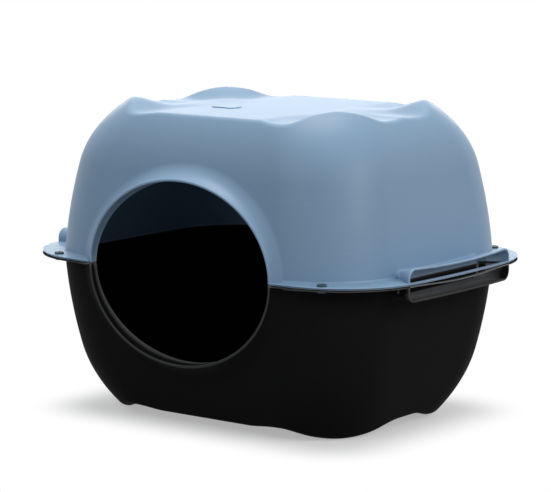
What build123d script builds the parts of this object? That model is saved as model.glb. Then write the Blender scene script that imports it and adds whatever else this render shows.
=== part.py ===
"""Litter box: a hood that lifts off a tub, both thin mouldings, with four snap pins at the corners.

The origin is at the bottom centre, on the floor that the feet stand on. +Z is up, X runs along the long front and
the entrance faces -Y. Each moulding is drawn from the seam outwards, as heights above the seam, and the tub is the
mirror image of such a drawing. Sizes are in millimetres.
"""

import os
from dataclasses import dataclass
from math import asin, atan2, cos, degrees, pi, radians, sin, sqrt

from build123d import *

# Overall sizes
HEIGHT = 385.0
SEAM_Z = 193.0
BODY_HALF_X = 235.5
BODY_HALF_Y = 189.5
BODY_CORNER = 97.0
SHEET = 3.0

# Profile of the walls, from the seam to the roof: three arcs, with the lean from upright where they meet
SEAM_LEAN = radians(3.1)
SHOULDER_LEAN = radians(11.0)
HOOD_ROLL_LEAN = radians(42.24)
TUB_ROLL_LEAN = radians(31.92)
WALL_RADIUS = 815.0
ROLL_RADIUS = 11.0

# Swollen corners: lobes on the roof, and feet that stand lower than the floor of the tub
LOBE_RISE = 11.0
LOBE_INSET_X = 85.5
LOBE_INSET_Y = 100.5
LOBE_REACH_X = 52.0
LOBE_REACH_Y = 70.0
FOOT_DROP = 10.5
FOOT_PAD = 0.5
FOOT_INSET_X = 73.5
FOOT_INSET_Y = 97.5
FOOT_REACH_X = 52.0
FOOT_REACH_Y = 75.0

# Rim flange around the seam of each moulding: how far it stands out from the body, and its outline
FLANGE_OUT_X = 37.5
FLANGE_OUT_Y = 13.5
FLANGE_CORNER = BODY_CORNER + 8.0
FLANGE_LONG_BOW = 3000.0
FLANGE_END_BOW = 1300.0
FLANGE_GAP = 4.0

# Entrance through the front walls, half in each moulding; its collar reaches as far out as the flange
ENTRANCE_MARGIN = 1.5
ENTRANCE_HALF_Z = 111.5

# Arched grips at both ends
GRIP_INSET_Y = 81.5
GRIP_RISE = 15.0
GRIP_CORNER = 12.0
GRIP_SETBACK = 6.5

# Snap pins at the four corners, outside the body's corners and in the flange
PIN_NAMES = ("pin_front_left", "pin_front_right", "pin_back_left", "pin_back_right")
PIN_TURN = radians(55.6)
PIN_OUT = 10.2
PIN_RADIUS = 2.7
PIN_CLEARANCE = 0.3
PIN_HEAD_RADIUS = 5.2
PIN_HEAD = 3.0
PIN_RECESS = 1.0
BOSS_RADIUS = 5.5
BOSS_RISE = 3.5

# Steps in which the curved walls are drawn: along the wall, round the shoulder and in the roll to the roof
OUTER_STEPS = (2, 3, 2)
INNER_STEPS = (2, 3, 1)
REACH_OUT = 40.0

# Places that follow from those sizes
FLANGE_HALF_X = BODY_HALF_X + FLANGE_OUT_X
FLANGE_HALF_Y = BODY_HALF_Y + FLANGE_OUT_Y
ENTRANCE_HALF_X = BODY_HALF_X - BODY_CORNER - ENTRANCE_MARGIN
GRIP_HALF = BODY_HALF_Y - GRIP_INSET_Y
WALL_HEIGHT = WALL_RADIUS * (sin(SHOULDER_LEAN) - sin(SEAM_LEAN))
PIN_X = BODY_HALF_X - BODY_CORNER + (BODY_CORNER + PIN_OUT) * cos(PIN_TURN)
PIN_Y = BODY_HALF_Y - BODY_CORNER + (BODY_CORNER + PIN_OUT) * sin(PIN_TURN)

# Heights above the seam, the same in both mouldings
FLANGE_LOW = FLANGE_GAP / 2
FLANGE_TOP = FLANGE_LOW + SHEET
GRIP_TOP = FLANGE_TOP + GRIP_RISE
OUTER_LEVELS = (0.0, FLANGE_LOW, FLANGE_TOP, GRIP_TOP)
INNER_LEVELS = (0.0,)

STANDING = (Align.CENTER, Align.CENTER, Align.MIN)
HANGING = (Align.CENTER, Align.CENTER, Align.MAX)


@dataclass
class Shape:
    """What differs between the hood and the tub. The lobes' place and reach are along X and along Y."""

    roof: float
    rise: float
    place: tuple
    reach: tuple
    shoulder: float
    stop: float = 0.0


def shoulder_radius(roof, roll_lean):
    """Radius of the shoulder that leads into the roll of the roof with that lean."""
    climb = roof - WALL_HEIGHT - ROLL_RADIUS * (1 - sin(roll_lean))
    return climb / (sin(roll_lean) - sin(SHOULDER_LEAN))


HOOD_ROOF = HEIGHT - SEAM_Z - LOBE_RISE
TUB_FLOOR = SEAM_Z - FOOT_DROP
HOOD_SHAPE = Shape(
    roof=HOOD_ROOF,
    rise=LOBE_RISE,
    place=(BODY_HALF_X - LOBE_INSET_X, BODY_HALF_Y - LOBE_INSET_Y),
    reach=(LOBE_REACH_X, LOBE_REACH_Y),
    shoulder=shoulder_radius(HOOD_ROOF, HOOD_ROLL_LEAN),
)
TUB_SHAPE = Shape(
    roof=TUB_FLOOR,
    rise=FOOT_DROP + FOOT_PAD,
    place=(BODY_HALF_X - FOOT_INSET_X, BODY_HALF_Y - FOOT_INSET_Y),
    reach=(FOOT_REACH_X, FOOT_REACH_Y),
    shoulder=shoulder_radius(TUB_FLOOR, TUB_ROLL_LEAN),
    stop=SEAM_Z,
)


def rim(half_x, half_y, corner):
    """Rounded rectangle with slightly bowed sides, as eight arcs that meet smoothly."""
    x = half_x - corner
    y = half_y - corner
    for _ in range(40):
        y = half_y - FLANGE_LONG_BOW + sqrt((FLANGE_LONG_BOW - corner) ** 2 - x * x)
        x = half_x - FLANGE_END_BOW + sqrt((FLANGE_END_BOW - corner) ** 2 - y * y)
    end = degrees(atan2(y, x + FLANGE_END_BOW - half_x))
    side = degrees(atan2(x, y + FLANGE_LONG_BOW - half_y))
    end_centre = half_x - FLANGE_END_BOW
    side_centre = half_y - FLANGE_LONG_BOW
    return Wire([
        CenterArc((end_centre, 0), FLANGE_END_BOW, -end, 2 * end),
        CenterArc((x, y), corner, end, 90 - side - end),
        CenterArc((0, side_centre), FLANGE_LONG_BOW, 90 - side, 2 * side),
        CenterArc((-x, y), corner, 90 + side, 90 - side - end),
        CenterArc((-end_centre, 0), FLANGE_END_BOW, 180 - end, 2 * end),
        CenterArc((-x, -y), corner, 180 + end, 90 - side - end),
        CenterArc((0, -side_centre), FLANGE_LONG_BOW, 270 - side, 2 * side),
        CenterArc((x, -y), corner, 270 + side, 90 - side - end),
    ])


def plate(half_x, half_y, corner, low, high):
    """Flat plate with the rim's outline, between two heights."""
    return Pos(0, 0, low) * extrude(Face(rim(half_x, half_y, corner)), high - low)


def corners(x, y):
    """The place and its mirror images, in the order of the pin names."""
    return [(-x, -y), (x, -y), (-x, y), (x, y)]


def roll_start(top, shoulder):
    """Lean at which the wall turns into the roll that ends level at the height top."""
    left = top - WALL_HEIGHT + shoulder * sin(SHOULDER_LEAN) - ROLL_RADIUS
    return asin(left / (shoulder - ROLL_RADIUS))


def foot_lean(level, skin):
    """Lean of the wall at a level near the seam."""
    return asin((level + WALL_RADIUS * sin(SEAM_LEAN)) / (WALL_RADIUS - skin))


def steps_between(first, last, steps):
    """Leans after the first one, evenly spread up to the last."""
    return [first + (last - first) * step / steps for step in range(1, steps + 1)]


def ring(lean, roll_lean, shoulder, skin):
    """Outline of the body where its wall has that lean, moved inwards by skin. The roll begins at roll_lean."""
    inset = skin * cos(lean)
    level = -skin * sin(lean)
    corner = BODY_CORNER - inset
    start = SEAM_LEAN
    for radius, stop in ((WALL_RADIUS, SHOULDER_LEAN), (shoulder, roll_lean), (ROLL_RADIUS, pi / 2)):
        reached = min(lean, stop)
        inset += radius * (cos(start) - cos(reached))
        level += radius * (sin(reached) - sin(start))
        start = reached
    sketch = RectangleRounded(2 * (BODY_HALF_X - inset), 2 * (BODY_HALF_Y - inset), corner)
    return (Pos(0, 0, level) * sketch).wire()


def ruled(leans, roll_lean, shoulder, skin):
    """Solid between those outlines."""
    return Solid.make_loft([ring(lean, roll_lean, shoulder, skin) for lean in leans], True)


def ramp(crest, reach, base, top, bottom):
    """Outline of the material under an S-shaped climb that ends at the distance crest."""
    foot = crest - reach
    middle = (crest - reach / 2, (base + top) / 2)
    far = crest + reach + REACH_OUT
    return make_face([
        TangentArc((foot, base), middle, tangent=(1, 0)),
        TangentArc((crest, top), middle, tangent=(-1, 0)),
        Polyline((crest, top), (crest, top + SHEET), (far, top + SHEET), (far, bottom), (foot, bottom), (foot, base)),
    ])


def form(shape, skin, levels, steps):
    """Closed form of a moulding, moved inwards by skin: walls, roof and a swollen lobe in each corner."""
    wall, bend, roll = steps
    radius = shape.shoulder
    low = roll_start(shape.roof, radius)
    high = roll_start(shape.roof + shape.rise, radius)
    leans = [foot_lean(level, skin) for level in levels]
    leans += steps_between(leans[-1], SHOULDER_LEAN, wall)
    leans += steps_between(SHOULDER_LEAN, low, bend)
    body = ruled(leans + steps_between(low, pi / 2, roll), low, radius, skin)
    cap = ruled([low, high] + steps_between(high, pi / 2, roll), high, radius, skin)
    base = shape.roof - skin
    heights = (base, base + shape.rise, cap.bounding_box().min.Z - SHEET)
    along_x = extrude(Plane.XZ * ramp(shape.place[0], shape.reach[0], *heights), BODY_HALF_Y, both=True)
    along_y = extrude(Plane.YZ * ramp(shape.place[1], shape.reach[1], *heights), BODY_HALF_X, both=True)
    lobe = cap & along_x & along_y
    if shape.stop:
        width = 2 * BODY_HALF_X
        lobe = lobe & Pos(*shape.place, shape.stop - skin) * Box(width, width, width, align=HANGING)
    pair = lobe + mirror(lobe, about=Plane.YZ)
    return body + pair + mirror(pair, about=Plane.XZ)


def tunnel(half_x, half_z, front, back):
    """Elliptical bar along Y, centred on the seam."""
    sketch = Plane(origin=(0, -front, 0), x_dir=(1, 0, 0), z_dir=(0, 1, 0)) * Ellipse(half_x, half_z)
    return extrude(sketch, front - back)


def arch(half, top, corner, bottom, start, stop, side):
    """Bar along X with rounded top corners, from start to stop on one side of the box."""
    flat = Rectangle(2 * half, top - bottom + corner, align=(Align.CENTER, Align.MAX))
    flat = fillet(flat.vertices(), corner)
    flat = Pos(0, top) * flat
    keep = Pos(0, bottom) * Rectangle(2 * half, top - bottom, align=(Align.CENTER, Align.MIN))
    plane = Plane(origin=(side * start, 0, 0), x_dir=(0, 1, 0), z_dir=(1, 0, 0))
    return extrude(plane * (flat & keep), side * (stop - start))


def moulding(outer, inner, bore_radius, boss_rise):
    """Shell with its flange, collar and grips, drawn with the seam at height 0."""
    shell = outer + plate(FLANGE_HALF_X, FLANGE_HALF_Y, FLANGE_CORNER, FLANGE_LOW, FLANGE_TOP)
    grip_x = FLANGE_HALF_X - GRIP_SETBACK
    grip_y = FLANGE_HALF_Y - GRIP_SETBACK
    limit = plate(grip_x, grip_y, FLANGE_CORNER - GRIP_SETBACK, -SHEET, GRIP_TOP + SHEET)
    start = BODY_HALF_X - REACH_OUT
    stop = FLANGE_HALF_X + REACH_OUT
    for side in (-1, 1):
        block = arch(GRIP_HALF, GRIP_TOP, GRIP_CORNER, FLANGE_LOW, start, stop, side) & limit
        inside = (GRIP_HALF - SHEET, GRIP_TOP - SHEET, GRIP_CORNER - SHEET)
        behind = arch(*inside, -SHEET / 2, start, stop, side) & limit
        ahead = arch(*inside, FLANGE_TOP, start, stop, side)
        shell = shell + block - (behind + ahead - outer)
    back = BODY_HALF_Y - 2 * REACH_OUT
    upper = Box(4 * ENTRANCE_HALF_X, 4 * FLANGE_HALF_Y, 2 * ENTRANCE_HALF_Z, align=STANDING)
    shell = shell + (tunnel(ENTRANCE_HALF_X, ENTRANCE_HALF_Z, FLANGE_HALF_Y, back) & upper)
    shell = shell - inner
    shell = shell - tunnel(
        ENTRANCE_HALF_X - SHEET, ENTRANCE_HALF_Z - SHEET, FLANGE_HALF_Y + REACH_OUT, back - REACH_OUT
    )
    for x, y in corners(PIN_X, PIN_Y):
        if boss_rise:
            shell = shell + Pos(x, y, FLANGE_TOP) * Cylinder(BOSS_RADIUS, boss_rise, align=STANDING)
        shell = shell - Pos(x, y, 0) * Cylinder(bore_radius, 2 * (FLANGE_TOP + boss_rise), align=STANDING)
    return shell


def make_hood():
    outer = form(HOOD_SHAPE, 0.0, OUTER_LEVELS, OUTER_STEPS)
    inner = form(HOOD_SHAPE, SHEET, INNER_LEVELS, INNER_STEPS)
    shell = moulding(outer, inner, PIN_RADIUS + PIN_CLEARANCE, BOSS_RISE)
    return Pos(0, 0, SEAM_Z) * shell


def make_tub():
    outer = form(TUB_SHAPE, 0.0, OUTER_LEVELS, OUTER_STEPS)
    inner = form(TUB_SHAPE, SHEET, INNER_LEVELS, INNER_STEPS)
    shell = moulding(outer, inner, PIN_RADIUS, 0.0)
    return Pos(0, 0, SEAM_Z) * mirror(shell, about=Plane.XY)


def make_pin(x, y):
    head_top = SEAM_Z - FLANGE_TOP
    tip = SEAM_Z + FLANGE_TOP + BOSS_RISE - PIN_RECESS
    shank = Pos(x, y, head_top) * Cylinder(PIN_RADIUS, tip - head_top, align=STANDING)
    head = Pos(x, y, head_top) * Cylinder(PIN_HEAD_RADIUS, PIN_HEAD, align=HANGING)
    return shank + head


def main():
    os.makedirs("parts", exist_ok=True)
    export_step(make_hood(), "parts/hood.step")
    export_step(make_tub(), "parts/tub.step")
    for name, (x, y) in zip(PIN_NAMES, corners(PIN_X, PIN_Y)):
        export_step(make_pin(x, y), f"parts/{name}.step")


if __name__ == "__main__":
    main()
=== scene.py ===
"""Looks of a litter box: hood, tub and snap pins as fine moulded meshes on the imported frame."""

from math import cos, inf, pi, radians, sin, sqrt

import bmesh
import bpy
import numpy as np
from bpy.props import FloatProperty, FloatVectorProperty, PointerProperty
from bpy.types import Operator, Panel, PropertyGroup
from mathutils import Matrix, Vector


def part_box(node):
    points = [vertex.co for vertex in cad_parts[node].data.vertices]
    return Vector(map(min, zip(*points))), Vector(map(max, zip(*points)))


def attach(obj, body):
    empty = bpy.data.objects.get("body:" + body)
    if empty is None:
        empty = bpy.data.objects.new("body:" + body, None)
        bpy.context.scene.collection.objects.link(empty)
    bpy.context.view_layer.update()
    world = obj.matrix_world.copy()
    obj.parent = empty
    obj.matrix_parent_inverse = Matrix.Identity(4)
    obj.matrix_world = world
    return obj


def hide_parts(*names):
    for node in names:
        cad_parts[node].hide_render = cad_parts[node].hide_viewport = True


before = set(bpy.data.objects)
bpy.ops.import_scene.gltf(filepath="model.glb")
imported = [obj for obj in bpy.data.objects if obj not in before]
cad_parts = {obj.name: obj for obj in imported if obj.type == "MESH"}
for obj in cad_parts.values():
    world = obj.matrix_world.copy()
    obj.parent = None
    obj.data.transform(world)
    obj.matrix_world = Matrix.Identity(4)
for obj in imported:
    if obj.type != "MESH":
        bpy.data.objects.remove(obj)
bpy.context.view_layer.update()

bl_info = {
    "name": "Litter box",
    "version": (1, 0, 0),
    "blender": (4, 5, 0),
    "location": "3D View > Sidebar > Litter box",
    "description": "Builds the mouldings, pins and stage of an enclosed litter box",
    "category": "Object",
}

PIN_NAMES = ("front_left", "front_right", "back_left", "back_right")
RAYS = ("Camera", "Glossy", "Transmission")

# Steps over a shell: along half the front, half an end and a corner, then from the seam upward.
FRONT_COLUMNS, END_COLUMNS, CORNER_COLUMNS = 30, 20, 36
WALL_ROWS, SHOULDER_ROWS, ROLL_ROWS, ROOF_ROWS = 24, 26, 8, 34
# The first row over the seam lies low, in steps of the wall, so that the paler edge stays narrow.
SEAM_ROW = 0.25
# How far the patch round the entrance reaches into the corners and up the shoulder, in steps.
CUT_COLUMNS, CUT_ROWS = 6, 10

# Points along the flange: round a corner, on to a grip, past a grip and along the back.
RIM_CORNER, RIM_SHORT, RIM_GRIP, RIM_BACK = 41, 5, 41, 61
# Points along half an arch: up its leg, round its bend and along its top.
ARCH_LEG, ARCH_BEND, ARCH_TOP = 4, 9, 22
# Points over a rounded edge, over a blend and round a turned part.
EDGE_POINTS, BLEND_POINTS, TURNED_POINTS = 4, 5, 40

# Shallow dip before a lobe or foot: start and length in reaches, and depth as a share of the rise.
DIP_START, DIP_LENGTH, DIP_DEPTH = -0.9, 1.5, 0.28

# Play round a pin in the hood, and between the seam and the tub's flange.
BORE_CLEARANCE, FLANGE_GAP = 0.0003, 0.0002
# Radius of the blends into the wall, and of the arches' corners where they meet it.
BLEND, ROOT_CORNER = 0.003, 0.008
# Radius of the flange's edges as a share of its thickness, and the gap to the next row behind an edge.
EDGE_SHARE, EDGE_FLAT = 0.45, 0.0012
# How far behind the rim the two faces of the hood's lip stand.
LIP_FACES = (0.004, 0.0024)
# Plate on the roof: middle, half sizes, corner radius and height.
PLATE_PLACE, PLATE_HALF, PLATE_CORNER, PLATE_RISE = (-0.048, -0.041), (0.017, 0.011), 0.005, 0.0012
# Domed head of a pin: share of its radius and height over its lowest point.
HEAD_DOME = ((0.0, 0.0), (0.6, 0.0001), (0.85, 0.0005), (0.97, 0.0011), (1.0, 0.0018))
# Dimple in the tip of a pin: radius and depth.
TIP_DIMPLE = ((0.0013, 0.0), (0.0010, 0.0003), (0.0009, 0.0012), (0.0, 0.0013))
SHARP_ANGLE = radians(38.0)

# Each pair scales a plastic's colour and adds to it: two cloud tones, the rub marks and a painted
# highlight on the convex edges.
PALE_WEAR_AND_EDGE_SHEEN = ((0.96, 0.0), (1.04, 0.0), (0.75, 0.22), (1.2, 0.12))
DARK_WEAR_AND_EDGE_SHEEN = ((0.9, 0.0), (1.1, 0.0), (1.0, 0.02), (1.0, 0.26))
PIN_WEAR_AND_EDGE_SHEEN = ((0.9, 0.0), (1.1, 0.0), (1.0, 0.02), (1.0, 0.04))

# Name, place, target, size, power, tint and share of sheen.
LAMPS = (
    ("top_light", (-0.3, 0.35, 2.2), (0.0, 0.0, 0.3), (1.2, 1.0), 25.0, (1.0, 0.98, 0.95), 0.3),
    ("back_light", (-1.8, 2.4, 0.95), (0.0, 0.0, 0.3), (2.6, 0.8), 16.0, (1.0, 1.0, 1.0), 1.0),
    ("side_light", (2.4, -0.1, 1.35), (0.0, 0.0, 0.22), (1.4, 1.2), 23.0, (1.0, 0.95, 0.93), 0.3),
    ("front_light", (-0.4, -2.6, 1.9), (0.0, 0.0, 0.25), (1.8, 1.4), 12.5, (1.0, 1.0, 1.0), 0.6),
)

# The photo's viewpoint: azimuth, elevation, distance, shift to the right and height of the aim.
VIEW_TURN, VIEW_LIFT, VIEW_AWAY = radians(37.28), radians(8.69), 3.0646
VIEW_SHIFT, VIEW_HEIGHT = -0.00341, 0.20214
# Width of the photo and focal length in pixels, and width of the sensor in millimetres.
PHOTO_WIDTH, FOCAL_PIXELS, SENSOR_WIDTH = 551.0, 2486.3, 36.0


def length(name, description, default):
    """A length in metres."""
    return FloatProperty(name=name, description=description, default=default, unit="LENGTH", precision=4)


def angle(name, description, default):
    """An angle, whose default is given in degrees."""
    return FloatProperty(name=name, description=description, default=radians(default), subtype="ANGLE")


def colour(name, description, default):
    """A colour with linear parts from 0 to 1."""
    limits = {"subtype": "COLOR", "min": 0, "max": 1}
    return FloatVectorProperty(name=name, description=description, default=default, **limits)


class BoxSizes(PropertyGroup):
    """Sizes of the two mouldings and the pins."""

    height: length("Height", "Floor to the top of the hood's lobes", 0.385)
    seam: length("Seam", "Height of the seam between tub and hood", 0.193)
    half_x: length("Half length", "Half of the body along the front, at the seam", 0.2355)
    half_y: length("Half depth", "Half of the body from front to back, at the seam", 0.1895)
    corner: length("Corner", "Radius of the body's upright corners", 0.097)
    sheet: length("Sheet", "Thickness of the moulded plastic", 0.003)
    seam_lean: angle("Seam lean", "Lean of the wall at the seam", 3.1)
    shoulder_lean: angle("Shoulder lean", "Lean of the wall where the shoulder starts", 11.0)
    wall_radius: length("Wall radius", "Radius of the wall's slight bulge", 0.815)
    hood_shoulder: length("Hood shoulder", "Radius of the hood's shoulder", 0.137)
    tub_shoulder: length("Tub shoulder", "Radius of the tub's lower shoulder", 0.195)
    roll: length("Roll", "Radius where the shoulder turns into the roof", 0.011)
    lobe_rise: length("Lobe rise", "How far the hood's corner lobes stand up", 0.011)
    lobe_x: length("Lobe place X", "Where the lobe's climb ends along the front", 0.156)
    lobe_y: length("Lobe place Y", "Where the lobe's climb ends from front to back", 0.093)
    lobe_reach_x: length("Lobe reach X", "Length of the climb along the front", 0.044)
    lobe_reach_y: length("Lobe reach Y", "Length of the climb from front to back", 0.058)
    foot_drop: length("Foot drop", "How far the feet stand below the tub's floor", 0.0105)
    foot_pad: length("Foot pad", "How much of each foot is flattened", 0.0005)
    foot_x: length("Foot place X", "Where the foot's climb ends along the front", 0.162)
    foot_y: length("Foot place Y", "Where the foot's climb ends from front to back", 0.092)
    foot_reach_x: length("Foot reach X", "Length of the foot's climb along the front", 0.052)
    foot_reach_y: length("Foot reach Y", "Length of the foot's climb from front to back", 0.075)
    flange_x: length("Flange half length", "Half of the rim flange along the front", 0.273)
    flange_y: length("Flange half depth", "Half of the rim flange from front to back", 0.203)
    flange_corner: length("Flange corner", "Radius of the flange's corners", 0.105)
    long_bow: length("Long bow", "Radius of the bowed long sides of the flange", 3.0)
    end_bow: length("End bow", "Radius of the bowed ends of the flange", 1.3)
    hood_rim: length("Hood rim", "Height of the hood flange's upper face above the seam", 0.0033)
    hood_rim_sheet: length("Hood rim sheet", "Thickness of the hood flange's thin edge", 0.001)
    hood_lip: length("Hood lip", "Height of the lip's end under the hood flange above the seam", 0.0005)
    tub_rim_sheet: length("Tub rim sheet", "Thickness of the tub flange", 0.0014)
    tub_rim_dip: length("Tub rim dip", "How far the tub flange bows down in the middle of a grip", 0.0032)
    entrance_x: length("Entrance half width", "Half width of the entrance collar", 0.137)
    entrance_z: length("Entrance half height", "Half height of the entrance collar", 0.1115)
    collar_out: length("Collar out", "How far the collar stands off the wall at the seam", 0.007)
    collar_flare: length("Collar flare", "Width of the slope from the wall up to the collar", 0.012)
    corner_tuck: length("Corner tuck", "How much the hood's upright corners tighten up to the roof", 0.012)
    grip_half: length("Grip half width", "Half width of an arched grip", 0.107)
    grip_top: length("Grip height", "How far a grip's arch stands off the seam", 0.0196)
    grip_sag: length("Grip sag", "How far the hood grip's arch sags in its middle", 0.0024)
    grip_corner: length("Grip corner", "Radius of the arch's corners", 0.012)
    grip_splay: length("Grip splay", "How far a grip's legs spread from the wall to the rim", 0.021)
    grip_climb: length("Grip climb", "How far the hood grip's arch rises from the wall to the rim", 0.0085)
    grip_sheet: length("Grip sheet", "Thickness of a grip's arch", 0.0023)
    grip_setback: length("Grip setback", "How far the arch stays behind the rim", 0.0008)
    strip: length("Flange strip", "Width of the flange in front of a grip", 0.0048)
    pin_x: length("Pin place X", "Place of the snap pins along the front", 0.19906)
    pin_y: length("Pin place Y", "Place of the snap pins from front to back", 0.18095)
    pin_radius: length("Pin radius", "Radius of a pin's shank", 0.0027)
    pin_head: length("Pin head", "Radius of a pin's head", 0.0052)
    boss_radius: length("Boss radius", "Radius of the hood's bosses around the pins", 0.0055)
    boss_rise: length("Boss rise", "Height of the bosses above the flange", 0.0026)


class BoxFinish(PropertyGroup):
    """Colours of the plastics and strength of their grain."""

    hood: colour("Hood", "Colour of the hood's plastic", (0.235, 0.37, 0.53))
    tub: colour("Tub", "Colour of the tub's plastic", (0.011, 0.011, 0.0112))
    pin: colour("Pins", "Colour of the pins' plastic", (0.012, 0.05, 0.07))
    grain: length("Grain", "Size of the moulded grain", 0.0009)


class MeshMaker:
    """Collects grids of points and turns them into one mesh."""

    def __init__(self):
        self.points = []
        self.faces = []

    def add(self, points):
        """Keeps the points and returns their numbers."""
        start = len(self.points)
        array = np.asarray(points, float)
        self.points.extend(array.reshape(-1, 3))
        return start + np.arange(array.size // 3).reshape(array.shape[:-1])

    def grid(self, points, round_rows=False, round_columns=False):
        """Quads between neighbouring points of a two-way grid."""
        index = self.add(points)
        if round_rows:
            index = np.concatenate([index, index[:, :1]], axis=1)
        if round_columns:
            index = np.concatenate([index, index[:1]], axis=0)
        quads = np.stack([index[:-1, :-1], index[:-1, 1:], index[1:, 1:], index[1:, :-1]], axis=-1)
        self.faces.extend(quads.reshape(-1, 4).tolist())

    def face(self, points):
        """One face through the points."""
        self.faces.append(self.add(points).tolist())

    def object(self, name, seam, flip):
        """Makes the object: heights count from the seam, and flip turns them downwards."""
        points = np.array(self.points)
        points[:, 2] = seam + (-points[:, 2] if flip else points[:, 2])
        mesh = bpy.data.meshes.new(name)
        mesh.from_pydata(points.tolist(), [], self.faces)
        shape = bmesh.new()
        shape.from_mesh(mesh)
        bmesh.ops.remove_doubles(shape, verts=shape.verts, dist=1e-6)
        bmesh.ops.dissolve_degenerate(shape, edges=shape.edges, dist=1e-7)
        bmesh.ops.recalc_face_normals(shape, faces=shape.faces)
        shape.to_mesh(mesh)
        shape.free()
        piece = bpy.data.objects.new(name, mesh)
        bpy.context.scene.collection.objects.link(piece)
        return piece


def climb(distance, crest, reach):
    """S-shaped step from 0 to 1 that ends at the crest, with a shallow dip before it."""
    place = (np.abs(distance) - crest + reach) / reach
    part = np.clip(place, 0.0, 1.0)
    near = np.clip((place - DIP_START) / DIP_LENGTH, 0.0, 1.0)
    return part * part * (3.0 - 2.0 * part) - DIP_DEPTH * (4.0 * near * (1.0 - near)) ** 2


class Moulding:
    """Wall, roof and corner lobes of the hood or of the tub, as heights above the seam."""

    def __init__(self, size, hood):
        self.size = size
        self.wall_height = size.wall_radius * (sin(size.shoulder_lean) - sin(size.seam_lean))
        if hood:
            self.shoulder = size.hood_shoulder
            self.roof = size.height - size.seam - size.lobe_rise
            self.rise = size.lobe_rise
            self.place = (size.lobe_x, size.lobe_y, size.lobe_reach_x, size.lobe_reach_y)
            self.stop = inf
            self.tuck = size.corner_tuck
            self.rim = (size.hood_rim - size.hood_rim_sheet, size.hood_rim)
            self.lip = size.hood_lip
            self.dip = 0.0
            self.sag = size.grip_sag
            self.climb = size.grip_climb
            self.mouth = self.rim[0]
        else:
            self.shoulder = size.tub_shoulder
            self.roof = size.seam - size.foot_drop
            self.rise = size.foot_drop + size.foot_pad
            self.place = (size.foot_x, size.foot_y, size.foot_reach_x, size.foot_reach_y)
            self.stop = size.seam
            self.tuck = 0.0
            self.rim = (FLANGE_GAP, FLANGE_GAP + size.tub_rim_sheet)
            self.lip = None
            self.dip = size.tub_rim_dip
            self.sag = 0.0
            self.climb = 0.0
            self.mouth = 0.0

    def top(self, x, y):
        """Height of the roof over a place."""
        crest_x, crest_y, reach_x, reach_y = self.place
        return self.roof + self.rise * climb(x, crest_x, reach_x) * climb(y, crest_y, reach_y)

    def roll_lean(self, top):
        """Lean at which the shoulder turns into a roof of that height."""
        size = self.size
        left = top - self.wall_height + self.shoulder * sin(size.shoulder_lean) - size.roll
        return np.arcsin(left / (self.shoulder - size.roll))

    def profile(self, lean, roll_lean, skin):
        """Inset and height where the wall has that lean."""
        size = self.size
        inset = skin * np.cos(lean)
        level = -skin * np.sin(lean)
        start = size.seam_lean
        stops = ((size.wall_radius, size.shoulder_lean), (self.shoulder, roll_lean), (size.roll, pi / 2))
        for radius, stop in stops:
            reached = np.minimum(lean, stop)
            inset = inset + radius * (np.cos(start) - np.cos(reached))
            level = level + radius * (np.sin(reached) - np.sin(start))
            start = reached
        return inset, level

    def lean_at(self, level, skin):
        """Lean of the wall or shoulder at a height."""
        size = self.size
        wall = (level + size.wall_radius * sin(size.seam_lean)) / (size.wall_radius - skin)
        rest = level - self.wall_height + self.shoulder * sin(size.shoulder_lean)
        shoulder = rest / (self.shoulder - skin)
        sine = np.where(wall <= sin(size.shoulder_lean), wall, shoulder)
        return np.arcsin(np.clip(sine, -1, 1))

    def section(self, inset, lean, skin):
        """Half sizes and corner radius of the outline with that inset."""
        size = self.size
        corner = size.corner - skin * np.cos(lean) - self.tuck * (np.sin(lean) - sin(size.seam_lean))
        return size.half_x - inset, size.half_y - inset, corner

    def section_at(self, level, skin):
        """Half sizes and corner radius of the outline at a height."""
        lean = self.lean_at(level, skin)
        inset, _ = self.profile(lean, pi / 2, skin)
        return self.section(inset, lean, skin)

    def front(self, x, z, skin):
        """How far out the front wall stands at a place across and a height."""
        half_x, half_y, corner = self.section_at(z, skin)
        beyond = np.clip(np.abs(x) - (half_x - corner), 0.0, corner)
        return half_y - corner + np.sqrt(corner * corner - beyond * beyond)

    def side(self, y, z):
        """How far out the end wall stands at a place from front to back and a height."""
        half_x, half_y, corner = self.section_at(z, 0.0)
        beyond = np.clip(np.abs(y) - (half_y - corner), 0.0, corner)
        return half_x - corner + np.sqrt(corner * corner - beyond * beyond)

    def surface(self, columns, skin):
        """Grid of points from the seam over the shoulder to the middle of the roof."""
        steep = self.size.shoulder_lean
        # The roof's height at its edge sets where the roll starts, and that moves the edge.
        edge = np.full(len(columns), self.roof)
        for _ in range(4):
            roll_lean = self.roll_lean(edge)
            inset, _ = self.profile(pi / 2, roll_lean, skin)
            edge = self.top(*outline(columns, self.section(inset, pi / 2, skin)))
        low = float(self.lean_at(0.0, skin))
        steps = [0.0, SEAM_ROW] + list(range(2, WALL_ROWS))
        leans = [np.full(len(columns), low + (steep - low) * k / WALL_ROWS) for k in steps]
        leans += [steep + (roll_lean - steep) * k / SHOULDER_ROWS for k in range(SHOULDER_ROWS)]
        leans += [roll_lean + (pi / 2 - roll_lean) * k / ROLL_ROWS for k in range(ROLL_ROWS + 1)]
        grid = []
        for lean in leans:
            inset, level = self.profile(lean, roll_lean, skin)
            x, y = outline(columns, self.section(inset, lean, skin))
            grid.append(np.stack([x, y, np.minimum(level, self.stop - skin)], axis=-1))
        for k in range(1, ROOF_ROWS + 1):
            part = 1.0 - k / ROOF_ROWS
            level = np.minimum(self.top(x * part, y * part), self.stop) - skin
            grid.append(np.stack([x * part, y * part, level], axis=-1))
        return np.array(grid)


def outline(columns, section):
    """Points of an outline for columns of (across, along, turn)."""
    half_x, half_y, corner = section
    across, along, turn = columns.T
    x = (half_x - corner) * across + corner * np.cos(turn)
    y = (half_y - corner) * along + corner * np.sin(turn)
    return x, y


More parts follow.
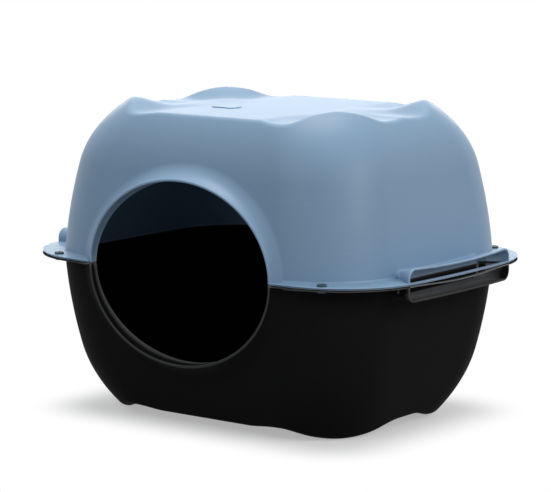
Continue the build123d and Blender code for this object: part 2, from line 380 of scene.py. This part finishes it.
def loop_columns():
    """Columns round the body, from the middle of the front towards +X: across, along and turn."""
    half = [(k / FRONT_COLUMNS, -1.0, -pi / 2) for k in range(FRONT_COLUMNS)]
    half += [(1.0, -1.0, -pi / 2 + pi / 2 * k / CORNER_COLUMNS) for k in range(CORNER_COLUMNS)]
    half += [(1.0, -1.0 + k / END_COLUMNS, 0.0) for k in range(END_COLUMNS)]
    half = np.array(half)
    back = np.array([(a, -b, -t) for a, b, t in half[::-1]])
    middle = np.array([[1.0, 0.0, 0.0]])
    right = np.concatenate([half, middle, back[:-1]])
    end = np.array([[0.0, 1.0, pi / 2]])
    left = np.array([(-a, b, pi - t) for a, b, t in right[:0:-1]])
    return np.concatenate([right, end, left])


def add_shell(maker, form, size):
    """Adds the outer and inner skin, and the collar in the patch that they leave round the entrance."""
    columns = loop_columns()
    count = len(columns)
    side = FRONT_COLUMNS + CUT_COLUMNS
    lift = WALL_ROWS + CUT_ROWS
    outer = form.surface(columns, 0.0)
    inner = form.surface(columns, size.sheet)
    keep = np.arange(side, count - side + 1)
    for grid in (outer, inner):
        maker.grid(grid[: lift + 1, keep])
        maker.grid(grid[lift:], round_rows=True)
    for a, b in zip(keep[:-1], keep[1:]):
        maker.face([outer[0, a], outer[0, b], inner[0, b], inner[0, a]])
    # Edge of the patch, from the seam on the right over the top to the seam on the left.
    over = np.concatenate([np.arange(side, 0, -1), np.arange(0, -side - 1, -1)])
    path = [(row, side) for row in range(lift)] + [(lift, c) for c in over]
    path += [(row, count - side) for row in range(lift - 1, -1, -1)]
    row_index = np.array([p[0] for p in path])
    column_index = np.array([p[1] % count for p in path])
    add_collar(maker, form, size, outer[row_index, column_index], inner[row_index, column_index])


def add_collar(maker, form, size, outer_edge, inner_edge):
    """Adds the front wall round the entrance, blended into the collar, its lip and its bore."""
    a, b = size.entrance_x, size.entrance_z
    front = size.half_y + size.collar_out
    lip, wall_steps, bends, lip_bends = 0.001, 9, 12, 3
    widening, least_flat, more_flat = 0.2, 0.12, 0.7
    bore_parts = (0.12, 0.5, 1.0)
    turn = np.arctan2(outer_edge[:, 2] / b, outer_edge[:, 0] / a)
    turn[0], turn[-1] = 0.0, pi
    x, z = a * np.cos(turn), b * np.sin(turn)
    z[0] = z[-1] = form.mouth
    normal = np.stack([np.cos(turn) / a, np.sin(turn) / b], axis=-1)
    normal[0, 1] = normal[-1, 1] = 0.0
    normal_x, normal_z = (normal / np.linalg.norm(normal, axis=-1)[:, None]).T
    inner_x, inner_z = (a - size.sheet) * np.cos(turn), (b - size.sheet) * np.sin(turn)
    inner_z[0] = inner_z[-1] = form.mouth
    # The slope widens where the wall leans back, and is straight at the sides and hollow on top.
    flare = size.collar_flare + widening * (front - form.front(x, z, 0.0))
    flat = least_flat + more_flat * np.cos(turn) ** 8
    grid = []

    def add_row(across, out, up):
        """A row that stands that far out to the front."""
        grid.append(np.stack([across, -out, up], axis=-1))

    def add_wall_row(near, far, part, skin):
        """A row on the wall, part of the way from the collar to the edge of the patch."""
        across = near[0] + (far[:, 0] - near[0]) * part
        up = near[1] + (far[:, 2] - near[1]) * part
        add_row(across, form.front(across, up, skin), up)

    def add_lip_row(share, rise):
        """A row on the rounded lip, at a share of its thickness and of its height."""
        out = np.full_like(x, front - lip + lip * rise)
        add_row(x + (inner_x - x) * share, out, z + (inner_z - z) * share)

    reach = (x + normal_x * flare, z + normal_z * flare)
    for k in range(wall_steps):
        add_wall_row(reach, outer_edge, 1.0 - k / wall_steps, 0.0)
    for k in range(bends + 1):
        part, slope = k / bends, pi / 2 * k / bends
        away = flare * ((1 - part) * flat + (1 - sin(slope)) * (1 - flat))
        across, up = x + normal_x * away, z + normal_z * away
        base = form.front(across, up, 0.0)
        share = part * flat + (1 - cos(slope)) * (1 - flat)
        add_row(across, base + (front - lip - base) * share, up)
    slopes = [pi / 2 * k / lip_bends for k in range(lip_bends + 1)]
    for slope in slopes:
        add_lip_row(lip / size.sheet * (1 - cos(slope)), sin(slope))
    for slope in slopes[::-1]:
        add_lip_row(1.0 - lip / size.sheet * (1 - cos(slope)), sin(slope))
    inside = form.front(inner_x, inner_z, size.sheet)
    for part in bore_parts:
        add_row(inner_x, (front - lip) * (1 - part) + inside * part, inner_z)
    for k in range(1, wall_steps + 1):
        add_wall_row((inner_x, inner_z), inner_edge, k / wall_steps, size.sheet)
    grid[0], grid[-1] = outer_edge, inner_edge
    grid = np.array(grid)
    maker.grid(grid)
    maker.face(grid[:, 0])
    maker.face(grid[:, -1])


class Rim:
    """Outline of the flange: bowed sides and round corners."""

    def __init__(self, size, setback=0.0):
        self.half_x = size.flange_x - setback
        self.half_y = size.flange_y - setback
        self.corner = size.flange_corner - setback
        self.long_bow = size.long_bow - setback
        self.end_bow = size.end_bow - setback
        # A corner's circle touches both bows; its middle settles by turns.
        x, y = self.half_x - self.corner, self.half_y - self.corner
        for _ in range(40):
            y = self.half_y - self.long_bow + sqrt((self.long_bow - self.corner) ** 2 - x * x)
            x = self.half_x - self.end_bow + sqrt((self.end_bow - self.corner) ** 2 - y * y)
        self.centre = (x, y)

    def inside(self, x, y):
        """Whether a place lies within the rim."""
        x, y = np.abs(x), np.abs(y)
        long_side = x * x + (y - self.half_y + self.long_bow) ** 2 <= self.long_bow**2
        end_side = (x - self.half_x + self.end_bow) ** 2 + y * y <= self.end_bow**2
        cx, cy = self.centre
        past_end = (x - self.half_x + self.end_bow) * cy <= y * (cx - self.half_x + self.end_bow)
        past_side = (y - self.half_y + self.long_bow) * cx <= x * (cy - self.half_y + self.long_bow)
        corner = (x - cx) ** 2 + (y - cy) ** 2 <= self.corner**2
        return long_side & end_side & (~(past_end & past_side) | corner)

    def reach(self, x, y, turn):
        """Distance from a place to the rim in the direction turn."""
        furthest, halvings = 0.08, 32
        low, high = np.zeros_like(x), np.full_like(x, furthest)
        for _ in range(halvings):
            middle = (low + high) / 2
            inside = self.inside(x + middle * np.cos(turn), y + middle * np.sin(turn))
            low, high = np.where(inside, middle, low), np.where(inside, high, middle)
        return low

    def end(self, y):
        """How far out the end of the rim stands at a place from front to back."""
        return self.half_x - self.end_bow + np.sqrt(self.end_bow**2 - y * y)


def add_flange(maker, form, size):
    """Adds the rim flange, cut away behind a strip at the grips, with a small blend into the wall."""
    low, top = form.rim
    rim = Rim(size)
    buried = 0.4 * size.grip_sheet
    slant, collar_gap = 0.06, 0.0003
    end_y = size.grip_half - buried
    root_y = end_y - size.grip_splay
    aim = -np.arctan2(end_y - root_y, rim.end(end_y) - form.side(root_y, top))
    start = (size.entrance_x + collar_gap) / (size.half_x - size.corner)
    root = root_y / (size.half_y - size.corner)
    # Columns of (across, along, turn, direction); the direction swings round to that of the grips' legs.
    corner = [
        (1.0, -1.0, turn, -pi / 2 + (turn + pi / 2) * (aim + pi / 2) / (pi / 2))
        for turn in np.linspace(-pi / 2, 0, RIM_CORNER)
    ]
    corner += [(1.0, -along, 0.0, aim) for along in np.linspace(1, root, RIM_SHORT)[1:]]
    front = [(start, -1.0, -pi / 2, -pi / 2)] + corner
    other = [(-a, b, pi - t, pi - d) for a, b, t, d in front[::-1]]
    right = [(a, -b, -t, -d) for a, b, t, d in corner[::-1]]
    back = right + [(a, 1.0, pi / 2, pi / 2) for a in np.linspace(1, -1, RIM_BACK)[1:-1]]
    back += [(-a, b, pi - t, pi - d) for a, b, t, d in right[::-1]]

    def run(columns):
        """Flange along the wall: its outer edge, the blend and the part inside the wall."""
        columns = np.array(columns)
        x, y = outline(columns[:, :3], form.section_at(top, 0.0))
        way = columns[:, 3]
        rows = outer_rows(rim.reach(x, y, way), size.strip, form)
        for slope in np.linspace(0, pi / 2, BLEND_POINTS):
            rise = BLEND * (1 - cos(slope))
            rows.append((np.full_like(x, BLEND * (1 - sin(slope)) - slant * rise), top + rise))
        rows += [(np.full_like(x, -buried), top + BLEND), (np.full_like(x, -buried), low)]
        return np.array([
            np.stack([x + out * np.cos(way), y + out * np.sin(way), np.full_like(x, z)], -1)
            for out, z in rows
        ])

    def strip(side):
        """Flange past a grip: its outer edge and a plain inner one, where the blend's rows meet."""
        y = side * np.linspace(-end_y, end_y, RIM_GRIP)
        dip = form.dip * (1 - (y / end_y) ** 2) ** 2
        rows = outer_rows(rim.end(y), size.strip, form)
        rows += [rows[-1]] * (BLEND_POINTS + 1) + [(rows[0][0], low)]
        return np.array([np.stack([side * x, y, z + dip], -1) for x, z in rows])

    grid = np.concatenate([run(front), strip(1), run(back), strip(-1), run(other)], axis=1)
    maker.grid(grid, round_columns=True)
    maker.face(grid[:, 0])
    maker.face(grid[:, -1])


def outer_rows(far, strip, form):
    """Rows round the outer edge of a flange that reaches as far as that: distance and height."""
    low, top = form.rim
    edge = EDGE_SHARE * (top - low)
    slopes = np.linspace(0, pi / 2, EDGE_POINTS)
    rows = [(far - strip, low)]
    if form.lip is not None:
        back, fore = LIP_FACES
        rows += [(far - back, low), (far - back, form.lip), (far - fore, form.lip), (far - fore, low)]
    rows.append((far - edge - EDGE_FLAT, low))
    rows += [(far - edge + edge * sin(slope), low + edge - edge * cos(slope)) for slope in slopes]
    rows += [(far - edge + edge * cos(slope), top - edge + edge * sin(slope)) for slope in slopes]
    return rows + [(far - edge - EDGE_FLAT, top), (far - strip, top)]


def arch_path(half, top, corner, low, sag):
    """Points and outward normals of an arch from one foot to the other, from front to back and up."""
    bent, level = half - corner, top - corner
    path = [(half, z, 1.0, 0.0) for z in np.linspace(low, level, ARCH_LEG)[:-1]]
    for turn in np.linspace(0, pi / 2, ARCH_BEND):
        path.append((bent + corner * cos(turn), level + corner * sin(turn), cos(turn), sin(turn)))
    for y in np.linspace(bent, 0, ARCH_TOP)[1:]:
        path.append((y, top - sag * (1 - (y / bent) ** 2), 0.0, 1.0))
    right = np.array(path)
    left = right[-2::-1] * np.array([-1, 1, -1, 1])
    return np.concatenate([right, left])


def add_grip(maker, form, size, side):
    """Adds the arched sheet of a grip, blended into the end wall."""
    low, sheet, edge, sunk = form.rim[0], size.grip_sheet, 0.0009, 0.0002
    rim = Rim(size, size.grip_setback)

    def arches(half, top, corner):
        """Outer face of the sheet with its normals, and the inner face."""
        outer = arch_path(half, top, corner, low, form.sag)
        inner = arch_path(half - sheet, top - sheet, corner - sheet, low, form.sag)
        return outer.T, inner[:, :2].T

    half, top = size.grip_half, size.grip_top
    outer, (inner_y, inner_z) = arches(half, top, size.grip_corner)
    root, (under_y, under_z) = arches(half - size.grip_splay, top - form.climb, ROOT_CORNER)
    outer_y, outer_z = outer[:2]
    root_y, root_z, normal_y, normal_z = root
    rows = []
    for slope in np.linspace(pi / 2, 0, BLEND_POINTS + 1):
        away = BLEND * (1 - cos(slope))
        y, z = root_y + normal_y * away, root_z + normal_z * away
        rows.append((form.side(y, z) + BLEND * (1 - sin(slope)) - sunk * sin(slope), y, z))
    rows.append((rim.end(outer_y) - edge - EDGE_FLAT, outer_y, outer_z))
    slopes = np.linspace(0, pi / 2, EDGE_POINTS)
    shares = [(edge / sheet * (1 - cos(slope)), slope) for slope in slopes]
    shares += [(1 - edge / sheet * (1 - cos(slope)), slope) for slope in slopes[::-1]]
    for share, slope in shares:
        y, z = outer_y + (inner_y - outer_y) * share, outer_z + (inner_z - outer_z) * share
        rows.append((rim.end(y) - edge + edge * sin(slope), y, z))
    rows.append((rim.end(inner_y) - edge - EDGE_FLAT, inner_y, inner_z))
    rows.append((form.side(under_y, under_z) - 0.5 * size.sheet, under_y, under_z))
    grid = np.array([np.stack([side * x, y, z], axis=-1) for x, y, z in rows])
    maker.grid(grid, round_columns=True)
    maker.face(grid[:, 0])
    maker.face(grid[:, -1])


def add_turned(maker, x, y, profile, ring=False):
    """Adds a turned part: a profile of (radius, height), closed on itself for a ring."""
    turns = np.linspace(0, 2 * pi, TURNED_POINTS, endpoint=False)
    rows = [[(x + r * cos(t), y + r * sin(t), z) for t in turns] for r, z in profile]
    maker.grid(rows, round_rows=True, round_columns=ring)


def pin_places(size):
    """Places of the four pins, to the side and from front to back."""
    return [(across * size.pin_x, along * size.pin_y) for across in (-1, 1) for along in (-1, 1)]


def add_bosses(maker, size):
    """Adds the round bosses that the pins come up through."""
    top = size.hood_rim
    bore, radius, high = size.pin_radius + BORE_CLEARANCE, size.boss_radius, top + size.boss_rise
    edge, blend, buried = 0.0006, 0.0008, top - 0.0005
    slopes = np.linspace(0, pi / 2, EDGE_POINTS)
    profile = [(bore, buried)]
    profile += [(bore + edge - edge * cos(slope), high - edge + edge * sin(slope)) for slope in slopes]
    profile += [(radius - edge + edge * sin(slope), high - edge + edge * cos(slope)) for slope in slopes]
    for slope in np.linspace(0, pi / 2, BLEND_POINTS):
        profile.append((radius + blend - blend * cos(slope), top + blend - blend * sin(slope)))
    profile += [(radius + blend, buried)]
    for x, y in pin_places(size):
        add_turned(maker, x, y, profile, ring=True)


def cut_bores(piece, size):
    """Cuts the holes for the pins through the hood's flange."""
    maker = MeshMaker()
    bore, past = size.pin_radius + BORE_CLEARANCE, 0.02
    for x, y in pin_places(size):
        add_turned(maker, x, y, [(0.0, -past), (bore, -past), (bore, past), (0.0, past)])
    tool = maker.object("bore_tool", size.seam, False)
    cut = piece.modifiers.new("bores", "BOOLEAN")
    cut.operation = "DIFFERENCE"
    cut.solver = "EXACT"
    cut.object = tool
    evaluated = piece.evaluated_get(bpy.context.evaluated_depsgraph_get())
    mesh = bpy.data.meshes.new_from_object(evaluated)
    piece.modifiers.clear()
    piece.data = mesh
    bpy.data.objects.remove(tool)


def add_plate(maker, form):
    """Adds a low blank plate with rounded corners on the roof."""
    count, edge = 64, 0.0006
    turns = np.linspace(0, 2 * pi, count, endpoint=False)
    steps = [(0.0, -edge), (0.0, PLATE_RISE - edge)]
    for slope in np.linspace(0, pi / 2, BLEND_POINTS)[1:]:
        steps.append((edge - edge * cos(slope), PLATE_RISE - edge + edge * sin(slope)))
    rows = []
    for inset, z in steps:
        x, y = (
            place + np.sign(way) * (half - PLATE_CORNER) + (PLATE_CORNER - inset) * way
            for place, half, way in zip(PLATE_PLACE, PLATE_HALF, (np.cos(turns), np.sin(turns)))
        )
        rows.append(np.stack([x, y, form.top(x, y) + z], axis=-1))
    maker.grid(rows, round_rows=True)
    maker.face(rows[0])
    maker.face(rows[-1])


def pin_profile(size):
    """Radius and height of a pin from its domed head up to the dimple in its tip."""
    drop, thick, edge, bevel, sunk = 0.0045, 0.0026, 0.0001, 0.0006, 0.0004
    shank, head = size.pin_radius, size.pin_head
    bottom, tip = size.seam - drop, size.seam + size.hood_rim + size.boss_rise - sunk
    under = bottom + thick
    profile = [(head * share, bottom + rise) for share, rise in HEAD_DOME]
    profile += [(head, under - edge), (head - edge, under), (shank, under)]
    profile += [(shank, tip - bevel), (shank - bevel, tip)]
    return profile + [(radius, tip - depth) for radius, depth in TIP_DIMPLE]


class Flow:
    """A shader socket in sums and products; each operation adds its node."""

    def __init__(self, tree, socket):
        self.tree = tree
        self.socket = socket

    def math(self, operation, first, second=0.0):
        """Adds one Math node."""
        return self.tree.add("ShaderNodeMath", {"operation": operation}, {0: first, 1: second})

    def __add__(self, other):
        return self.math("ADD", self, other)

    def __sub__(self, other):
        return self.math("SUBTRACT", self, other)

    def __rsub__(self, other):
        return self.math("SUBTRACT", other, self)

    def __mul__(self, other):
        return self.math("MULTIPLY", self, other)

    __radd__ = __add__
    __rmul__ = __mul__


class Tree:
    """Nodes of one material or of the world."""

    def __init__(self, owner):
        owner.use_nodes = True
        self.owner = owner
        self.nodes = owner.node_tree.nodes
        self.links = owner.node_tree.links
        self.nodes.clear()

    def add(self, kind, settings, values, output=0):
        """Adds a node, sets it and its sockets, and returns one of its outputs."""
        node = self.nodes.new(kind)
        for name, value in settings.items():
            setattr(node, name, value)
        for name, value in values.items():
            if isinstance(value, Flow):
                self.links.new(value.socket, node.inputs[name])
            else:
                node.inputs[name].default_value = value
        return Flow(self, node.outputs[output]) if node.outputs else None

    def blend(self, factor, first, second):
        """Mixes two colours."""
        values = {0: factor, 6: first, 7: second}
        return self.add("ShaderNodeMix", {"data_type": "RGBA"}, values, output=2)

    def vector(self, operation, first, second=(0.0, 0.0, 0.0)):
        """Adds one Vector Math node."""
        return self.add("ShaderNodeVectorMath", {"operation": operation}, {0: first, 1: second})

    def place(self):
        """Place on the object, in its own coordinates."""
        return self.add("ShaderNodeTexCoord", {}, {}, output="Object")

    def noise(self, place, scale, detail=2.0, rough=0.5):
        """Cloudy values round one half."""
        values = {"Vector": place, "Scale": scale, "Detail": detail, "Roughness": rough}
        return self.add("ShaderNodeTexNoise", {}, values)

    def finish(self, shader, kind="Material"):
        """Adds the output node and returns the tree's owner."""
        self.add("ShaderNodeOutput" + kind, {}, {"Surface": shader})
        return self.owner


def moulded_plastic(name, tint, grain, rough, shine, wear_and_sheen):
    """Satin moulded plastic: fine grain, faint clouds, a few soft rub marks and a painted highlight along
    the convex edges.
    """
    tree = Tree(bpy.data.materials.new(name))
    place = tree.place()
    cloud = tree.noise(place, 9.0, 3.0, 0.55)
    fine = tree.noise(place, 1.0 / grain, 2.0, 0.6)
    upright = tree.add("ShaderNodeMapping", {}, {"Vector": place, "Scale": (1.0, 1.0, 7.0)})
    rub = tree.noise(upright, 26.0, 4.0, 0.65)
    rub = tree.add("ShaderNodeMapRange", {}, {"Value": rub, "From Min": 0.6, "From Max": 0.8})
    # Pointiness picks out the convex edges, which get a paler colour as a painted highlight.
    edge_highlight_mask = tree.add("ShaderNodeNewGeometry", {}, {}, output="Pointiness")
    edge_highlight_mask = tree.add("ShaderNodeMapRange", {}, {"Value": edge_highlight_mask, "From Min": 0.515, "From Max": 0.57})
    dark, light, scuffed, edge_highlight = [
        tuple(min(1.0, part * scale + more) for part in tint) + (1.0,) for scale, more in wear_and_sheen
    ]
    base = tree.blend(rub * 0.12, tree.blend(cloud, dark, light), scuffed)
    # Painted highlight: the paler colour is mixed in along the convex edges.
    base = tree.blend(edge_highlight_mask * 0.9, base, edge_highlight)
    bump = tree.add("ShaderNodeBump", {}, {"Strength": 0.3, "Distance": grain * 0.12, "Height": fine})
    # On average the two noises add 0.055, which is taken off again.
    gloss = fine * 0.06 + cloud * 0.05 - rub * 0.05 + (rough - 0.055)
    values = {"Base Color": base, "Roughness": gloss, "Normal": bump, "Specular IOR Level": shine}
    return tree.finish(tree.add("ShaderNodeBsdfPrincipled", {}, values))


def pale_floor(name):
    """Plain pale floor that the camera sees as white and that throws little light back."""
    tree = Tree(bpy.data.materials.new(name))
    cloud = tree.noise(tree.place(), 3.0)
    seen = tree.blend(cloud, (0.95, 0.95, 0.95, 1.0), (0.97, 0.97, 0.97, 1.0))
    # Shaded close to the feet, where the box casts its shadow, and plain white further out.
    feet_half = (0.16, 0.11, 0.0)
    near = tree.vector("ABSOLUTE", tree.place())
    near = tree.vector("MAXIMUM", tree.vector("SUBTRACT", near, feet_half))
    away = tree.add("ShaderNodeVectorMath", {"operation": "LENGTH"}, {0: near}, output="Value")
    ends = {"Value": away, "From Min": 0.02, "From Max": 0.12, "To Min": 0.4}
    away = tree.add("ShaderNodeMapRange", {"interpolation_type": "SMOOTHSTEP"}, ends)
    shaded = tree.add("ShaderNodeBsdfDiffuse", {}, {"Color": seen})
    bright = tree.add("ShaderNodeEmission", {}, {"Color": (1.0, 1.0, 1.0, 1.0), "Strength": 1.0})
    white = tree.add("ShaderNodeMixShader", {}, {0: away, 1: shaded, 2: bright})
    grey = tree.add("ShaderNodeBsdfDiffuse", {}, {"Color": (0.32, 0.33, 0.35, 1.0)})
    return tree.finish(tree.add("ShaderNodeMixShader", {}, {0: seen_ray(tree), 1: grey, 2: white}))


def seen_ray(tree):
    """1 for rays that show a background to the camera, directly or in a reflection."""
    rays = [tree.add("ShaderNodeLightPath", {}, {}, output=f"Is {kind} Ray") for kind in RAYS]
    return rays[0].math("MINIMUM", rays[0] + rays[1] + rays[2], 1.0)


def studio_world(scene):
    """Soft light, strongest from above, behind a plain white background."""
    world = bpy.data.worlds.new("studio")
    scene.world = world
    tree = Tree(world)
    way = tree.add("ShaderNodeTexCoord", {}, {}, output="Generated")
    up = tree.add("ShaderNodeSeparateXYZ", {}, {"Vector": way}, output="Z")
    ends = {"Value": up, "From Min": -0.1, "From Max": 0.8, "To Min": 0.08, "To Max": 0.42}
    level = tree.add("ShaderNodeMapRange", {}, ends)
    soft = tree.add("ShaderNodeBackground", {}, {"Color": (0.90, 0.97, 1.0, 1.0), "Strength": level})
    white = tree.add("ShaderNodeBackground", {}, {"Color": (1.0, 1.0, 1.0, 1.0), "Strength": 1.0})
    shown = {0: seen_ray(tree), 1: soft, 2: white}
    tree.finish(tree.add("ShaderNodeMixShader", {}, shown), "World")


def lamp(name, place, target, size, power, tint, sheen):
    """Adds a soft rectangular lamp that faces a place."""
    light = bpy.data.lights.new(name, "AREA")
    light.shape = "RECTANGLE"
    light.size, light.size_y = size
    light.energy = power
    light.color = tint
    light.specular_factor = sheen
    item = bpy.data.objects.new(name, light)
    item.location = place
    item.rotation_euler = (Vector(target) - Vector(place)).to_track_quat("-Z", "Y").to_euler()
    bpy.context.scene.collection.objects.link(item)


def join(piece, other):
    """Adds the other object's mesh to the piece and removes that object."""
    shape = bmesh.new()
    shape.from_mesh(piece.data)
    shape.from_mesh(other.data)
    shape.to_mesh(piece.data)
    shape.free()
    bpy.data.objects.remove(other)


def finish_piece(piece, body, material, nodes):
    """Gives a piece its material, slot and body, and hides the nodes it stands for."""
    piece.data.materials.clear()
    piece.data.materials.append(material)
    piece.data.shade_smooth()
    piece.data.set_sharp_from_angle(angle=SHARP_ANGLE)
    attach(piece, body)
    if nodes:
        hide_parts(*nodes)


class LITTERBOX_OT_hood(Operator):
    """Build the hood with its collar, flange, grips and plate"""

    bl_idname = "litterbox.hood"
    bl_label = "Hood"

    def execute(self, context):
        size, finish = context.scene.box_sizes, context.scene.box_finish
        form = Moulding(size, True)
        material = moulded_plastic("hood_plastic", finish.hood, finish.grain, 0.44, 0.33, PALE_WEAR_AND_EDGE_SHEEN)
        flange = MeshMaker()
        add_flange(flange, form, size)
        rim = flange.object("hood_rim", size.seam, False)
        cut_bores(rim, size)
        maker = MeshMaker()
        add_shell(maker, form, size)
        for side in (-1, 1):
            add_grip(maker, form, size, side)
        piece = maker.object("hood_moulding", size.seam, False)
        join(piece, rim)
        finish_piece(piece, "hood", material, ["hood"])
        plate = MeshMaker()
        add_plate(plate, form)
        piece = plate.object("hood_plate", size.seam, False)
        finish_piece(piece, "hood", material, [])
        return {"FINISHED"}


class LITTERBOX_OT_tub(Operator):
    """Build the tub with its collar, flange, grips and feet"""

    bl_idname = "litterbox.tub"
    bl_label = "Tub"

    def execute(self, context):
        size, finish = context.scene.box_sizes, context.scene.box_finish
        form = Moulding(size, False)
        material = moulded_plastic("tub_plastic", finish.tub, finish.grain, 0.62, 0.01, DARK_WEAR_AND_EDGE_SHEEN)
        maker = MeshMaker()
        add_shell(maker, form, size)
        for side in (-1, 1):
            add_grip(maker, form, size, side)
        add_flange(maker, form, size)
        piece = maker.object("tub_moulding", size.seam, True)
        finish_piece(piece, "tub", material, ["tub"])
        return {"FINISHED"}


class LITTERBOX_OT_pins(Operator):
    """Build the four snap pins and the hood's collars round them"""

    bl_idname = "litterbox.pins"
    bl_label = "Snap pins"

    def execute(self, context):
        size, finish = context.scene.box_sizes, context.scene.box_finish
        material = moulded_plastic("pin_plastic", finish.pin, finish.grain * 0.5, 0.36, 0.4, PIN_WEAR_AND_EDGE_SHEEN)
        for name in PIN_NAMES:
            low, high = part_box("pin_" + name)
            x, y = (low[0] + high[0]) / 2, (low[1] + high[1]) / 2
            maker = MeshMaker()
            add_turned(maker, x, y, pin_profile(size))
            piece = maker.object("snap_" + name, 0.0, False)
            finish_piece(piece, "tub", material, ["pin_" + name])
        maker = MeshMaker()
        add_bosses(maker, size)
        piece = maker.object("snap_collars", size.seam, False)
        finish_piece(piece, "hood", material, [])
        return {"FINISHED"}


class LITTERBOX_OT_stage(Operator):
    """Set the floor, the lamps, the world and the camera"""

    bl_idname = "litterbox.stage"
    bl_label = "Stage"

    def execute(self, context):
        mesh = bpy.data.meshes.new("floor")
        reach, drop = 30.0, 0.0004
        corners = [(reach * x, reach * y, -drop) for x, y in ((-1, -1), (1, -1), (1, 1), (-1, 1))]
        mesh.from_pydata(corners, [], [(0, 1, 2, 3)])
        floor = bpy.data.objects.new("floor", mesh)
        floor.data.materials.append(pale_floor("pale_floor"))
        context.scene.collection.objects.link(floor)
        for values in LAMPS:
            lamp(*values)
        studio_world(context.scene)
        camera = bpy.data.cameras.new("view")
        camera.sensor_width = SENSOR_WIDTH
        camera.lens = SENSOR_WIDTH * FOCAL_PIXELS / PHOTO_WIDTH
        camera.clip_end = 50.0
        view = bpy.data.objects.new("view", camera)
        turn, lift = VIEW_TURN, VIEW_LIFT
        back = Vector((sin(turn) * cos(lift), -cos(turn) * cos(lift), sin(lift)))
        right = Vector((cos(turn), sin(turn), 0.0))
        facing = Matrix((right, back.cross(right), back)).transposed().to_4x4()
        place = right * VIEW_SHIFT + Vector((0.0, 0.0, VIEW_HEIGHT)) + back * VIEW_AWAY
        view.matrix_world = Matrix.Translation(place) @ facing
        context.scene.collection.objects.link(view)
        context.scene.camera = view
        context.scene.view_settings.view_transform = "Standard"
        return {"FINISHED"}


class LITTERBOX_PT_box(Panel):
    """Sizes, colours and steps of the litter box"""

    bl_idname = "LITTERBOX_PT_box"
    bl_label = "Litter box"
    bl_space_type = "VIEW_3D"
    bl_region_type = "UI"
    bl_category = "Litter box"

    def draw(self, context):
        for step in STEPS:
            self.layout.operator(step)
        for group in (context.scene.box_finish, context.scene.box_sizes):
            for name in group.bl_rna.properties.keys():
                if name not in ("rna_type", "name"):
                    self.layout.prop(group, name)


CLASSES = (
    BoxSizes,
    BoxFinish,
    LITTERBOX_OT_hood,
    LITTERBOX_OT_tub,
    LITTERBOX_OT_pins,
    LITTERBOX_OT_stage,
    LITTERBOX_PT_box,
)
STEPS = ("litterbox.hood", "litterbox.tub", "litterbox.pins", "litterbox.stage")


def register():
    for item in CLASSES:
        bpy.utils.register_class(item)
    bpy.types.Scene.box_sizes = PointerProperty(type=BoxSizes)
    bpy.types.Scene.box_finish = PointerProperty(type=BoxFinish)


def unregister():
    del bpy.types.Scene.box_finish
    del bpy.types.Scene.box_sizes
    for item in reversed(CLASSES):
        bpy.utils.unregister_class(item)


def main():
    register()
    bpy.ops.litterbox.hood()
    bpy.ops.litterbox.tub()
    bpy.ops.litterbox.pins()
    bpy.ops.litterbox.stage()
    bpy.context.view_layer.update()


if __name__ == "__main__":
    main()
